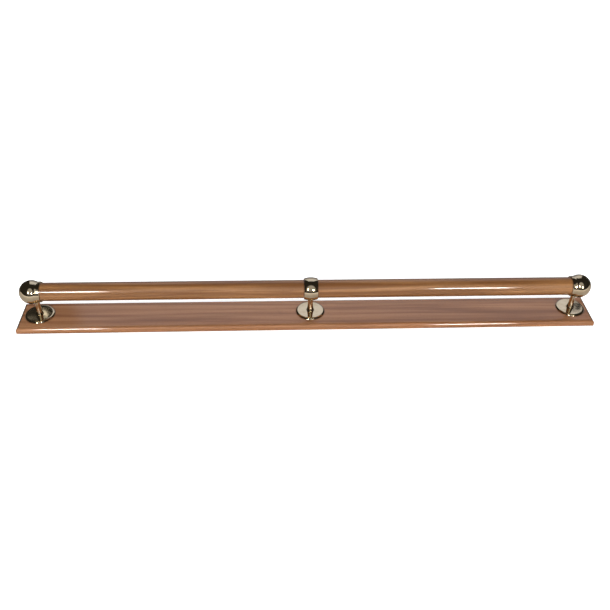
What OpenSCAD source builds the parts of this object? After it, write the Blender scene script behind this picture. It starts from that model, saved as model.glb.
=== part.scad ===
// Grab rail for a boat: a round wooden rail held off a moulded backing board
// by three turned brass brackets. The rail runs along X, the board's back is
// at Z = 0 and the rail stands off it along +Z. Millimetres throughout.
//
// Each bracket is a stack: rose on the board, stem on the rose, socket on the
// stem. One stud runs up the middle of the stack into the socket's neck, and
// a nut in a pocket in the board's back pulls the whole stack together.

/* [Backing board] */
// Length of the board along the rail
board_l = 1434; // [1200:1:1800]
// Width of the board
board_w = 104; // [96:1:160]
// Thickness of the board
board_t = 15; // [13:0.5:24]
// Radius of the quarter round worked along the board's front edges
edge_round = 5.8; // [2:0.2:7]
// Depth of the small step above the quarter round
edge_step = 0.8; // [0.4:0.1:1.5]

/* [Rail] */
// Diameter of the rail
rail_d = 45; // [38:0.5:54]
// Height of the rail's axis above the board's face
rail_rise = 70; // [62:0.5:90]
// Radial clearance between the rail and the sockets' bores
rail_fit = 0.15; // [0.05:0.05:0.5]
// Gap left between each end of the rail and its socket's shoulder
rail_end_gap = 0.5; // [0.2:0.1:2]

/* [Bracket positions] */
// Distance from each end of the board to the middle of its end ball
end_ball_inset = 40; // [36:1:120]
// How far each end stem stands inboard of the middle of its ball
stem_inboard = 7; // [5:0.5:9]
// How far the brackets stand off the board's centre line
bracket_y = 4.5; // [0:0.5:6]

/* [End sockets] */
// Metal around the rail at the middle of each end ball
ball_wall = 6.5; // [5.5:0.5:9]
// Metal around the rail at each end socket's collar
collar_wall = 2.7; // [2.4:0.1:3.6]
// Width of the collar where it comes out of the ball
collar_w = 9.4; // [8:0.2:16]
// Width of the shoulder that stops the end of the rail
shoulder_w = 1.5; // [1:0.1:3]
// Bevel around the mouth of the collar
mouth_bevel = 0.6; // [0.2:0.1:1]

/* [Centre ring] */
// Length of the ring along the rail
ring_l = 34; // [24:1:50]
// Metal around the rail at the middle of the ring
ring_wall = 6.2; // [5.4:0.2:9]
// Metal around the rail at the two ends of the ring
ring_end_wall = 3.2; // [2.4:0.2:5.2]

/* [Stem] */
// Diameter of the straight top of each stem
stem_top_d = 12.4; // [10.5:0.2:16]
// Diameter of the flared foot of each stem
stem_foot_d = 18.6; // [17:0.2:26]
// Height of the flare
stem_flare_h = 22; // [12:1:26]
// Height of the plain band at the very foot
stem_band_h = 0.9; // [0.4:0.1:2]
// Metal left between the stud's hole and the rail's bore
neck_floor = 1.9; // [1:0.1:4]
// Diameter of the spigot that centres the stem in the rose
spigot_d = 12; // [10:0.5:15]
// Length of that spigot
spigot_l = 1.6; // [1:0.2:2.4]

/* [Rose] */
// Diameter of each rose
rose_d = 72; // [56:1:76]
// Thickness of each rose
rose_t = 4.2; // [3.2:0.1:6]
// Width of the rounded band around the rim
rose_rim_w = 5.2; // [3.2:0.1:8]
// Height of the plain edge below the rounded band
rose_edge_h = 1.1; // [0.5:0.1:1.6]

/* [Bracket stud and nut] */
// Diameter of the stud
stud_d = 6; // [5:0.5:8]
// Depth of thread that the stud takes up in the socket's neck
stud_grip = 6; // [5:0.5:8]
// How far the stud's end stands out of the nut
stud_end = 0.3; // [0:0.1:0.6]
// Depth of the nut below the board's back
nut_cover = 0.9; // [0.7:0.1:2]
// Room around the washer in its pocket in the board's back
pocket_room = 1.5; // [0.5:0.5:4]
// Outer diameter of the broad washer
washer_d = 18; // [16:0.5:24]
// Thickness of the broad washer
washer_t = 1.5; // [1:0.1:2]
// Outer diameter of the spring washer
spring_washer_d = 11; // [10:0.5:13]
// Thickness of the spring washer
spring_washer_t = 1.6; // [1:0.1:2]
// Width of the nut across its flats
nut_flats = 10; // [10:0.5:13]
// Height of the nut
nut_h = 5; // [4:0.1:6]

/* [Rail screws] */
// Diameter of the screws that pin the rail
screw_d = 3; // [2.5:0.1:4]
// Diameter of their countersunk heads
screw_head_d = 5.8; // [5:0.1:7]
// Length of the screws
screw_l = 15; // [12:1:20]
// How far the heads lie below the outside of the metal
screw_set_in = 0.2; // [0.1:0.05:0.4]
// Width of the driving slot
slot_w = 0.8; // [0.6:0.1:1]
// Depth of the driving slot
slot_depth = 0.6; // [0.4:0.1:0.8]

/* [Threaded inserts] */
// Bore of the inserts that take the fixing bolts
insert_bore_d = 6; // [5:0.5:8]
// Outer diameter of the inserts
insert_d = 9.5; // [9.5:0.5:12]
// Length of the inserts
insert_l = 11; // [8:0.5:11.5]
// Distance of the outer inserts inboard of the end stems
insert_inboard = 90; // [30:5:200]
// Distance of the inserts from the board's long edges
insert_edge = 21; // [14:1:24]

/* [Hidden] */
$fn = 64;

// Clearances
stud_fit = 0.3;          // around the stud, through the board, rose, stem and washers
thread_fit = 0.04;       // around a thread, drawn as a plain cylinder
spigot_fit = 0.05;       // around the spigot in the rose
spigot_end_gap = 0.1;    // below the spigot
insert_fit = 0.05;       // around the inserts
insert_set_in = 0.3;     // the inserts' faces below the board's back
insert_end_gap = 0.5;    // behind the inserts
tap_run_out = 0.6;       // drilled depth beyond the stud's end
screw_seat_gap = 0.05;   // below the screws' heads
cut = 1;                 // how far a cutting shape runs past the face it cuts

// Heights
rail_z = board_t + rail_rise;
rose_top_z = board_t + rose_t;
rail_r = rail_d / 2;
bore_r = rail_r + rail_fit;
neck_drop = stud_grip + tap_run_out + neck_floor;
seat_z = rail_z - bore_r - neck_drop;    // where the socket's neck meets the stem
stem_h = seat_z - rose_top_z;

// Radii of the sockets, all from the rail
ball_r = bore_r + ball_wall;
collar_r = bore_r + collar_wall;
ring_mid_r = bore_r + ring_wall;
ring_end_r = bore_r + ring_end_wall;
// The ring's outline is one shallow arc through its middle and its two ends
ring_belly = ring_mid_r - ring_end_r;
ring_arc_r = (pow(ring_l / 2, 2) + pow(ring_belly, 2)) / (2 * ring_belly);

// The collar comes out of the ball where the two are as thick as each other
collar_join = sqrt(pow(ball_r, 2) - pow(collar_r, 2));
collar_reach = collar_join + collar_w;

// Places along the rail. The rail stops short of the shoulders inside the balls.
end_ball_x = board_l / 2 - end_ball_inset;
end_stem_x = end_ball_x - stem_inboard;
end_screw_x = end_ball_x - (collar_join + collar_reach) / 2;
rail_half_l = end_ball_x - rail_end_gap;

// Fastener stack in the pocket, from the board's back inwards
nut_z = nut_cover;
spring_washer_z = nut_z + nut_h;
washer_z = spring_washer_z + spring_washer_t;
pocket_depth = washer_z + washer_t;
pocket_d = washer_d + 2 * pocket_room;
stud_z = nut_z - stud_end;
stud_l = seat_z + stud_grip - stud_z;

// Puts a bracket's pieces at x
module at_bracket(x) {
    translate([x, bracket_y, 0]) children();
}

// Turns a shape drawn along Z so that it runs along X, about the rail's axis
module along_rail(x, side = 1) {
    translate([x, bracket_y, rail_z]) rotate([0, -90 * side, 0]) children();
}

// Outline of the board across one of its two directions
module board_outline(span) {
    inset = edge_round + edge_step;
    shoulder_z = board_t - edge_step;
    translate([-span / 2, 0]) square([span, shoulder_z - edge_round]);
    translate([-span / 2 + edge_round, 0]) square([span - 2 * edge_round, shoulder_z]);
    translate([-span / 2 + inset, 0]) square([span - 2 * inset, board_t]);
    for (side = [-1, 1])
        translate([side * (span / 2 - edge_round), shoulder_z - edge_round])
            circle(r = edge_round);
}

// Two crossed mouldings meet in true mitres at the corners
module board_blank() {
    intersection() {
        rotate([90, 0, 90]) linear_extrude(board_l + 2 * cut, center = true)
            board_outline(board_w);
        rotate([90, 0, 0]) linear_extrude(board_w + 2 * cut, center = true)
            board_outline(board_l);
    }
}

// Middles of the inserts: three along the board in each of two rows
function insert_spots() =
    let (x = end_stem_x - insert_inboard, y = board_w / 2 - insert_edge)
        [for (i = [-1 : 1]) for (j = [-1, 1]) [i * x, j * y]];

module backboard() {
    color("#8f5f3e") difference() {
        board_blank();
        for (x = [-end_stem_x, 0, end_stem_x]) at_bracket(x) {
            translate([0, 0, -cut]) cylinder(h = board_t + 2 * cut, d = stud_d + 2 * stud_fit);
            translate([0, 0, -cut]) cylinder(h = pocket_depth + cut, d = pocket_d);
        }
        for (spot = insert_spots()) translate([spot[0], spot[1], -cut])
            cylinder(h = cut + insert_set_in + insert_l + insert_end_gap, d = insert_d + 2 * insert_fit);
    }
}

module hand_rail() {
    color("#a8764c") difference() {
        along_rail(0) cylinder(h = 2 * rail_half_l, d = rail_d, center = true, $fn = 128);
        for (spot = [[-end_screw_x, collar_r], [0, ring_mid_r], [end_screw_x, collar_r]])
            at_rail_screw(spot[0], spot[1]) screw_blank(thread_fit);
    }
}

module wall_inserts() {
    color("#b0924a") for (spot = insert_spots())
        translate([spot[0], spot[1], insert_set_in]) threaded_insert();
}

// Brass insert with its bore open at the board's back and a driving slot
module threaded_insert() {
    slot = 1.2;
    difference() {
        cylinder(h = insert_l, d = insert_d);
        translate([0, 0, -cut]) cylinder(h = insert_l + 2 * cut, d = insert_bore_d);
        translate([-insert_d, -slot / 2, -cut]) cube([2 * insert_d, slot, cut + slot]);
    }
}

// Turned disc, flat on top and rounded over at the rim
module rose() {
    r = rose_d / 2;
    flat_r = r - rose_rim_w;
    rim_drop = rose_t - rose_edge_h;
    rim_arc_r = (pow(rose_rim_w, 2) + pow(rim_drop, 2)) / (2 * rim_drop);
    color("#c8ad74") translate([0, 0, board_t]) difference() {
        rotate_extrude($fn = 128) {
            square([flat_r, rose_t]);
            square([r, rose_edge_h]);
            intersection() {
                translate([flat_r, rose_t - rim_arc_r]) circle(r = rim_arc_r, $fn = 128);
                translate([flat_r - rose_edge_h, 0]) square([rose_rim_w + rose_edge_h, rose_t]);
            }
        }
        translate([0, 0, -cut]) cylinder(h = rose_t + 2 * cut, d = stud_d + 2 * stud_fit);
        translate([0, 0, rose_t - spigot_l - spigot_end_gap])
            cylinder(h = spigot_l + spigot_end_gap + cut, d = spigot_d + 2 * spigot_fit);
    }
}

// Stem with a straight top that flares to its foot along one hollow curve
module stem() {
    top_r = stem_top_d / 2;
    foot_r = stem_foot_d / 2;
    flare = foot_r - top_r;
    flare_arc_r = (pow(flare, 2) + pow(stem_flare_h, 2)) / (2 * flare);
    color("#c8ad74") translate([0, 0, rose_top_z]) difference() {
        union() {
            rotate_extrude($fn = 96) difference() {
                square([foot_r, stem_h]);
                translate([top_r, stem_band_h + stem_flare_h]) square([flare + cut, stem_h]);
                intersection() {
                    translate([top_r + flare_arc_r, stem_band_h + stem_flare_h])
                        circle(r = flare_arc_r, $fn = 256);
                    translate([top_r - cut, stem_band_h]) square([flare + 2 * cut, stem_flare_h]);
                }
            }
            translate([0, 0, -spigot_l]) cylinder(h = spigot_l + cut, d = spigot_d);
        }
        translate([0, 0, -spigot_l - cut])
            cylinder(h = stem_h + spigot_l + 2 * cut, d = stud_d + 2 * stud_fit);
    }
}

// Neck under a socket, with the blind tapped hole that the stud screws into
module neck() {
    translate([0, 0, seat_z]) cylinder(h = rail_z - seat_z, d = stem_top_d);
}

module neck_tapping() {
    translate([0, 0, seat_z - cut])
        cylinder(h = cut + stud_grip + tap_run_out, d = stud_d + 2 * thread_fit);
}

// Ball that closes the rail's end, with a collar at its mouth.
// side is -1 for the left end of the rail and 1 for the right.
module end_socket(side) {
    shoulder_r = bore_r - shoulder_w;
    color("#c8ad74") difference() {
        union() {
            along_rail(side * end_ball_x, side) rotate_extrude($fn = 128) {
                intersection() {
                    circle(r = ball_r, $fn = 128);
                    translate([0, -ball_r]) square([ball_r, ball_r + collar_join]);
                }
                polygon([
                    [0, 0], [collar_r, 0], [collar_r, collar_reach - mouth_bevel],
                    [collar_r - mouth_bevel, collar_reach], [0, collar_reach]
                ]);
            }
            at_bracket(side * end_stem_x) neck();
        }
        along_rail(side * end_ball_x, side) {
            cylinder(h = collar_reach + cut, r = bore_r);
            sphere(r = shoulder_r, $fn = 128);
        }
        at_bracket(side * end_stem_x) neck_tapping();
        at_rail_screw(side * end_screw_x, collar_r) screw_seat();
    }
}

module centre_ring() {
    color("#c8ad74") difference() {
        union() {
            along_rail(0) rotate_extrude($fn = 128) intersection() {
                translate([ring_mid_r - ring_arc_r, 0]) circle(r = ring_arc_r, $fn = 256);
                translate([0, -ring_l / 2]) square([ring_mid_r + cut, ring_l]);
            }
            at_bracket(0) neck();
        }
        along_rail(0) cylinder(h = ring_l + 2 * cut, r = bore_r, center = true, $fn = 128);
        at_bracket(0) neck_tapping();
        at_rail_screw(0, ring_mid_r) screw_seat();
    }
}

module stud() {
    color("#b9babd") translate([0, 0, stud_z]) cylinder(h = stud_l, d = stud_d);
}

module washer() {
    color("#b9babd") translate([0, 0, washer_z]) difference() {
        cylinder(h = washer_t, d = washer_d);
        translate([0, 0, -cut]) cylinder(h = washer_t + 2 * cut, d = stud_d + 2 * stud_fit);
    }
}

// One-turn spring washer, pressed flat, with its slanted split
module spring_washer() {
    split_w = 1;
    split_slant = 25;
    color("#a5a6a9") translate([0, 0, spring_washer_z]) difference() {
        cylinder(h = spring_washer_t, d = spring_washer_d);
        translate([0, 0, -cut])
            cylinder(h = spring_washer_t + 2 * cut, d = stud_d + 2 * stud_fit);
        translate([0, spring_washer_d / 2, spring_washer_t / 2]) rotate([0, split_slant, 0])
            cube([split_w, spring_washer_d, 4 * spring_washer_t], center = true);
    }
}

// Hexagon nut with its corners turned off on both faces
module nut() {
    flat_r = nut_flats / 2;
    corner_r = flat_r / cos(30);
    corner_drop = (corner_r - flat_r) * tan(30);
    color("#b9babd") translate([0, 0, nut_z]) difference() {
        intersection() {
            cylinder(h = nut_h, r = corner_r, $fn = 6);
            rotate_extrude() polygon([
                [0, 0], [flat_r, 0], [corner_r, corner_drop],
                [corner_r, nut_h - corner_drop], [flat_r, nut_h], [0, nut_h]
            ]);
        }
        translate([0, 0, -cut]) cylinder(h = nut_h + 2 * cut, d = stud_d + 2 * thread_fit);
    }
}

// Places a rail screw's head at the outside of the metal on the +Y side, pointing in
module at_rail_screw(x, metal_r) {
    translate([x, bracket_y + metal_r - screw_set_in, rail_z]) rotate([90, 0, 0]) children();
}

// The screw's head and shank, with the head's face at Z = 0 and the tip along +Z
module screw_blank(gap) {
    head_h = (screw_head_d - screw_d) / 2;
    cylinder(h = head_h + gap, d1 = screw_head_d + 2 * gap, d2 = screw_d);
    cylinder(h = screw_l + gap, d = screw_d + 2 * gap);
}

module screw_seat() {
    screw_blank(screw_seat_gap);
    translate([0, 0, -cut]) cylinder(h = cut + screw_seat_gap, d = screw_head_d + 2 * screw_seat_gap);
}

module rail_screw(x, metal_r) {
    color("#b0924a") at_rail_screw(x, metal_r) difference() {
        screw_blank(0);
        translate([-screw_head_d, -slot_w / 2, -cut])
            cube([2 * screw_head_d, slot_w, cut + slot_depth]);
    }
}

backboard();
hand_rail();
wall_inserts();

at_bracket(-end_stem_x) rose();  // left_rose
at_bracket(-end_stem_x) stem();  // left_stem
end_socket(-1);  // left_end_socket
at_bracket(-end_stem_x) stud();  // left_stud
at_bracket(-end_stem_x) washer();  // left_washer
at_bracket(-end_stem_x) spring_washer();  // left_spring_washer
at_bracket(-end_stem_x) nut();  // left_nut
rail_screw(-end_screw_x, collar_r);  // left_rail_screw

at_bracket(0) rose();  // centre_rose
at_bracket(0) stem();  // centre_stem
centre_ring();
at_bracket(0) stud();  // centre_stud
at_bracket(0) washer();  // centre_washer
at_bracket(0) spring_washer();  // centre_spring_washer
at_bracket(0) nut();  // centre_nut
rail_screw(0, ring_mid_r);  // centre_rail_screw

at_bracket(end_stem_x) rose();  // right_rose
at_bracket(end_stem_x) stem();  // right_stem
end_socket(1);  // right_end_socket
at_bracket(end_stem_x) stud();  // right_stud
at_bracket(end_stem_x) washer();  // right_washer
at_bracket(end_stem_x) spring_washer();  // right_spring_washer
at_bracket(end_stem_x) nut();  // right_nut
rail_screw(end_screw_x, collar_r);  // right_rail_screw
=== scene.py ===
"""Builds the looks of a boat's grab rail round its fixed frame.

A round varnished rail is held off a moulded backing board by three turned brass
brackets. Lengths are in metres, the rail runs along X and the board's back is at Z = 0.
"""

import math

import bmesh
import bpy
from bpy.props import FloatProperty, FloatVectorProperty, PointerProperty
from mathutils import Matrix, Vector


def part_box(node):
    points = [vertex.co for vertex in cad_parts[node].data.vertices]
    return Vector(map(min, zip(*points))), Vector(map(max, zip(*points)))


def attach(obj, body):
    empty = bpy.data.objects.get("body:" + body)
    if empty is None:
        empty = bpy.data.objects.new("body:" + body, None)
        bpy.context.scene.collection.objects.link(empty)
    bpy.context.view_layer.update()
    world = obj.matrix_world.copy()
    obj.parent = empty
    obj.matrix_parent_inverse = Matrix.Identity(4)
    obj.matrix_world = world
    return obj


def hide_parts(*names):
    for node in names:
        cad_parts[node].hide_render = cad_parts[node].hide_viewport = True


bl_info = {
    "name": "Grab Rail Looks",
    "version": (1, 0, 0),
    "blender": (4, 5, 0),
    "location": "3D View > Sidebar > Grab Rail",
    "description": "Makes the wood, brass, fixings and studio of a boat's grab rail",
    "category": "Object",
}

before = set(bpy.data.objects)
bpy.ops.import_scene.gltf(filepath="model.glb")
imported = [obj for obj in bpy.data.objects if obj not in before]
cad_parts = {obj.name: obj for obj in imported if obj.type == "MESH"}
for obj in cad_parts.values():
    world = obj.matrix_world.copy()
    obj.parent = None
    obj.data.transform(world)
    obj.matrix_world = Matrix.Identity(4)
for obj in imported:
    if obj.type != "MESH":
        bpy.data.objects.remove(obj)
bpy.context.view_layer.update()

BOARD_LOW, BOARD_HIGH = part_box("backboard")
RAIL_LOW, RAIL_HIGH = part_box("hand_rail")
INSERTS_LOW, INSERTS_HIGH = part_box("wall_inserts")
SIDES = ("left", "centre", "right")
BODY = "root"

MM = 0.001
ROUND_STEPS = 128
STEM_STEPS = 96
RUN_OUT = 1 * MM  # how far a cutting shape runs past the face it cuts
SHARP_ANGLE = math.radians(32)
INSERT_REACH = 15 * MM  # wider than one insert, and narrower than the gap to the next
WELD = 1e-7
STRONGEST = 1000.0  # no light is set above this


# Sizes and colours that a user would change


def length(name, description, millimetres):
    return FloatProperty(
        name=name, description=description, default=millimetres * MM, min=0.0, unit="LENGTH",
        precision=5,
    )


def colour(name, description, value):
    return FloatVectorProperty(
        name=name, description=description, default=value, size=3, min=0.0, max=1.0,
        subtype="COLOR",
    )


def amount(name, description, value, high=1.0):
    return FloatProperty(name=name, description=description, default=value, min=0.0, max=high)


class GrabRailBoard(bpy.types.PropertyGroup):
    edge_round: length("Edge round", "Radius of the quarter round along the front edges", 5.8)
    flat_low: FloatProperty(
        name="Flat's low side", description="Slope of the round where its sanded flat ends",
        default=math.radians(20), subtype="ANGLE",
    )
    flat_high: FloatProperty(
        name="Flat's high side", description="Slope of the round where its sanded flat starts",
        default=math.radians(48), subtype="ANGLE",
    )
    edge_step: length("Edge step", "Depth of the small step above the quarter round", 0.8)
    edge_ease: length("Edge ease", "Sanding of the crisp edges", 0.3)
    corner_ease: length("Corner ease", "Sanding of the four corners", 0.9)
    pocket_d: length("Pocket diameter", "Diameter of the nut pockets in the back", 21)
    pocket_depth: length("Pocket depth", "Depth of the nut pockets", 9)
    stud_hole_d: length("Stud hole diameter", "Diameter of the holes for the studs", 6.6)
    insert_hole_d: length("Insert hole diameter", "Diameter of the holes for the inserts", 9.6)
    insert_hole_depth: length("Insert hole depth", "Depth of the holes for the inserts", 11.8)


class GrabRailBar(bpy.types.PropertyGroup):
    end_ease: length("End ease", "Chamfer on both ends of the rail", 0.8)
    bore_gap: length("Bore gap", "Radial gap between the rail and its sockets", 0.15)


class GrabRailSocket(bpy.types.PropertyGroup):
    collar_wall: length("Collar wall", "Metal round the rail at the collar", 2.7)
    shoulder: length("Shoulder", "Width of the shoulder that stops the rail", 1.5)
    mouth_bevel: length("Mouth bevel", "Bevel round the mouth of the collar", 0.6)
    ring_end_wall: length("Ring end wall", "Metal round the rail at the ends of the ring", 3.2)
    ring_ease: length("Ring ease", "Rounding of the ends of the ring", 0.35)
    neck_overlap: length("Neck overlap", "Metal left between the neck's root and the bore", 0.85)
    tapped_d: length("Tapped hole diameter", "Diameter of the blind hole for the stud", 6.08)
    tapped_depth: length("Tapped hole depth", "Depth of the blind hole for the stud", 6.6)
    screw_head_d: length("Screw seat diameter", "Diameter of the seat for the screw's head", 5.9)
    screw_shank_d: length("Screw hole diameter", "Diameter of the hole for the rail screw", 3)
    screw_set_in: length("Screw set in", "Depth of the screw's head below the metal", 0.2)


class GrabRailStem(bpy.types.PropertyGroup):
    top_d: length("Top diameter", "Diameter of the straight top of each stem", 12.4)
    flare_h: length("Flare height", "Height of the hollow flare", 22)
    band_h: length("Band height", "Height of the plain band at the foot", 0.9)
    foot_ease: length("Foot ease", "Rounding of the foot's lower edge", 0.2)
    spigot_d: length("Spigot diameter", "Diameter of the spigot under each stem", 12)
    spigot_l: length("Spigot length", "Length of the spigot", 1.6)
    bore_d: length("Bore diameter", "Diameter of the hole up the middle", 6.6)


class GrabRailRose(bpy.types.PropertyGroup):
    rim_w: length("Rim width", "Width of the rounded band round the rim", 5.2)
    rim_edge: length("Rim edge", "Height of the plain edge below the rounded band", 1.1)
    recess_gap: length("Recess gap", "Radial gap round the stem's spigot", 0.05)
    recess_floor: length("Recess floor", "Gap below the stem's spigot", 0.1)


class GrabRailWood(bpy.types.PropertyGroup):
    deep: colour("Deep", "Colour of the darker bands of the wood", (0.225, 0.088, 0.030))
    pale: colour("Pale", "Colour of the paler bands of the wood", (0.410, 0.190, 0.082))
    line: colour("Line", "Colour of the fine dark lines", (0.095, 0.032, 0.012))
    worn: colour("Worn", "Colour of the wood at rubbed edges", (0.480, 0.250, 0.125))
    # Near black: end grain made darker still as painted shade on the board's ends
    end_grain_and_shade: colour("End grain", "Colour of the grain cut across", (0.022, 0.011, 0.007))
    # Near black, laid where ambient occlusion finds corners: painted shade, and also settled polish
    # and dirt
    dirt_and_shade: colour("Grime", "Colour of the polish and dirt left in corners", (0.035, 0.018, 0.010))
    rail_tint: colour("Rail tint", "Colour laid over the rail", (0.745, 0.745, 0.590))
    varnish_roughness: amount("Varnish roughness", "How far the varnish blurs reflections", 0.03)
    grain_tilt: FloatProperty(
        name="Grain tilt", description="How far the grain strays from the length of the wood",
        default=math.radians(0.5), subtype="ANGLE",
    )


class GrabRailMetal(bpy.types.PropertyGroup):
    brass: colour("Brass", "Colour of polished brass", (0.840, 0.715, 0.500))
    brass_dull: colour("Dull brass", "Colour of tarnished brass", (0.620, 0.460, 0.250))
    steel: colour("Steel", "Colour of stainless steel", (0.620, 0.615, 0.600))
    steel_dull: colour("Dull steel", "Colour of handled steel", (0.430, 0.425, 0.410))
    insert: colour("Insert brass", "Colour of the inserts' unpolished brass", (0.690, 0.520, 0.240))


class GrabRailStudio(bpy.types.PropertyGroup):
    camera_place: FloatVectorProperty(
        name="Camera place", description="Where the camera stands", size=3, subtype="TRANSLATION",
        unit="LENGTH", default=(-0.09871, -1.47194, 1.20171),
    )
    camera_down: FloatProperty(
        name="Camera down", description="How far the camera looks down",
        default=math.radians(38.2664), subtype="ANGLE",
    )
    camera_turn: FloatProperty(
        name="Camera turn", description="How far the camera is turned to the right",
        default=math.radians(4.114), subtype="ANGLE",
    )
    camera_roll: FloatProperty(
        name="Camera roll", description="How far the camera leans", default=math.radians(1.8348),
        subtype="ANGLE",
    )
    lens: FloatProperty(name="Lens", description="Focal length", default=44.262, unit="CAMERA")
    shift: FloatProperty(name="Shift", description="Sideways shift of the lens", default=-0.01364)
    floor_size: FloatProperty(
        name="Floor size", description="Width of the floor", default=40.0, unit="LENGTH"
    )
    floor: colour("Floor", "Colour of the floor", (0.94, 0.94, 0.935))
    table: colour("Table", "Colour of the paper that the brass mirrors", (0.43, 0.40, 0.385))
    key: amount("Key", "Strength of the soft front light", 2.65, STRONGEST)
    top: amount("Top", "Strength of the soft top light", 0.42, STRONGEST)
    fill: amount("Fill", "Strength of the soft back light", 0.85, STRONGEST)
    window: amount("Window", "Brightness of the windows", 50, STRONGEST)


SETTINGS = (
    ("grab_rail_board", GrabRailBoard),
    ("grab_rail_bar", GrabRailBar),
    ("grab_rail_socket", GrabRailSocket),
    ("grab_rail_stem", GrabRailStem),
    ("grab_rail_rose", GrabRailRose),
    ("grab_rail_wood", GrabRailWood),
    ("grab_rail_metal", GrabRailMetal),
    ("grab_rail_studio", GrabRailStudio),
)


# Node building


def put(tree, kind, inputs=None, **settings):
    """Adds a node. An input takes a value, or a socket to link from."""
    node = tree.nodes.new(kind)
    for key, value in settings.items():
        setattr(node, key, value)
    for key, value in (inputs or {}).items():
        if isinstance(value, bpy.types.NodeSocket):
            tree.links.new(value, node.inputs[key])
        else:
            node.inputs[key].default_value = value
    return node


def maths(tree, operation, a, b=0.0, c=0.0, clamp=False):
    given = {0: a, 1: b, 2: c}
    return put(tree, "ShaderNodeMath", given, operation=operation, use_clamp=clamp).outputs[0]


def times(tree, a, b):
    return maths(tree, "MULTIPLY", a, b)


def blend_colours(tree, factor, a, b, blend="MIX"):
    first, second = (v if isinstance(v, bpy.types.NodeSocket) else (*v, 1.0) for v in (a, b))
    pair = {0: factor, 6: first, 7: second}
    return put(tree, "ShaderNodeMix", pair, data_type="RGBA", blend_type=blend).outputs[2]


def spread(tree, value, low, high, to_low=0.0, to_high=1.0, smooth=False):
    """Maps low..high to to_low..to_high and holds the ends."""
    given = {"Value": value, "From Min": low, "From Max": high, "To Min": to_low, "To Max": to_high}
    way = "SMOOTHSTEP" if smooth else "LINEAR"
    return put(tree, "ShaderNodeMapRange", given, interpolation_type=way).outputs[0]


def noise(tree, vector, scale=1.0, detail=2.0, rough=0.5, distortion=0.0):
    given = {
        "Vector": vector, "Scale": scale, "Detail": detail, "Roughness": rough,
        "Distortion": distortion,
    }
    return put(tree, "ShaderNodeTexNoise", given).outputs[0]


def stretched(tree, vector, along, across):
    """The same place measured in units of along by across by across."""
    size = put(tree, "ShaderNodeCombineXYZ", {0: along, 1: across, 2: across}).outputs[0]
    return put(tree, "ShaderNodeVectorMath", {0: vector, 1: size}, operation="DIVIDE").outputs[0]


def effect_group(name, inputs, outputs):
    """A shader node group with its sockets made, from (name, default) inputs and output names.

    An input with no default takes a vector.
    """
    group = bpy.data.node_groups.new(name, "ShaderNodeTree")
    for label, default in inputs:
        kind = "NodeSocketVector" if default is None else "NodeSocketFloat"
        socket = group.interface.new_socket(name=label, in_out="INPUT", socket_type=kind)
        if default is not None:
            socket.default_value = default
    for label in outputs:
        group.interface.new_socket(name=label, in_out="OUTPUT", socket_type="NodeSocketFloat")
    given = group.nodes.new("NodeGroupInput").outputs
    return group, given, group.nodes.new("NodeGroupOutput").inputs


def wood_grain_group():
    """Bands, fine lines and open pores that run along X."""
    tree, given, made = effect_group(
        "Wood grain",
        (("Vector", None), ("Band Length", 0.4), ("Band Width", 0.014), ("Line Length", 0.12),
         ("Line Width", 0.0018), ("Pore Length", 0.007), ("Pore Width", 0.0005)),
        ("Bands", "Lines", "Pores"),
    )
    place = given["Vector"]
    band_place = stretched(tree, place, given["Band Length"], given["Band Width"])
    line_place = stretched(tree, place, given["Line Length"], given["Line Width"])
    pore_place = stretched(tree, place, given["Pore Length"], given["Pore Width"])
    bands = noise(tree, band_place, detail=2.0, distortion=0.5)
    lines = noise(tree, line_place, detail=3.0, rough=0.6)
    pores = noise(tree, pore_place, detail=1.0)
    tree.links.new(spread(tree, bands, 0.30, 0.70, smooth=True), made["Bands"])
    tree.links.new(spread(tree, lines, 0.38, 0.68), made["Lines"])
    tree.links.new(spread(tree, pores, 0.60, 0.72), made["Pores"])


def even(tree, vector, size):
    """The same place measured in units of size every way."""
    return stretched(tree, vector, size, size)


def edge_wear_group():
    """A mask that is 1 on rubbed outer edges, broken up along them."""
    tree, given, made = effect_group(
        "Edge wear",
        (("Vector", None), ("Width", 0.001), ("Patch Size", 0.02), ("Spread", 0.5)), ("Worn",),
    )
    rounded = put(tree, "ShaderNodeBevel", {"Radius": given["Width"]}, samples=6).outputs[0]
    facing = put(tree, "ShaderNodeNewGeometry").outputs["Normal"]
    pair = {0: rounded, 1: facing}
    turn = put(tree, "ShaderNodeVectorMath", pair, operation="DOT_PRODUCT").outputs["Value"]
    edge = spread(tree, maths(tree, "SUBTRACT", 1.0, turn), 0.01, 0.16, smooth=True)
    patch_noise = noise(tree, even(tree, given["Vector"], given["Patch Size"]), detail=3.0)
    patches = spread(tree, patch_noise, 0.35, 0.65)
    bare = maths(tree, "SUBTRACT", 1.0, given["Spread"])
    kept = maths(tree, "MULTIPLY_ADD", patches, bare, given["Spread"])
    tree.links.new(maths(tree, "MULTIPLY", edge, kept, clamp=True), made["Worn"])


def dirt_and_corner_shade_group():
    """A mask that is 1 deep in corners and round fittings, broken up: painted shade from ambient
    occlusion, which also stands for settled dirt.
    """
    tree, given, made = effect_group(
        "Settled grime", (("Vector", None), ("Reach", 0.003), ("Patch Size", 0.012)), ("Grime",)
    )
    reach = {"Distance": given["Reach"]}
    openness = put(tree, "ShaderNodeAmbientOcclusion", reach, samples=8).outputs["AO"]
    patch_noise = noise(tree, even(tree, given["Vector"], given["Patch Size"]), detail=3.0)
    patches = spread(tree, patch_noise, 0.3, 0.7, 0.55, 1.0)
    # The more shut in a place is, the higher the mask: this darkening is painted shade, and also
    # stands for dirt
    shut_in = spread(tree, openness, 0.55, 0.97, 1.0, 0.0)
    tree.links.new(times(tree, shut_in, patches), made["Grime"])


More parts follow.
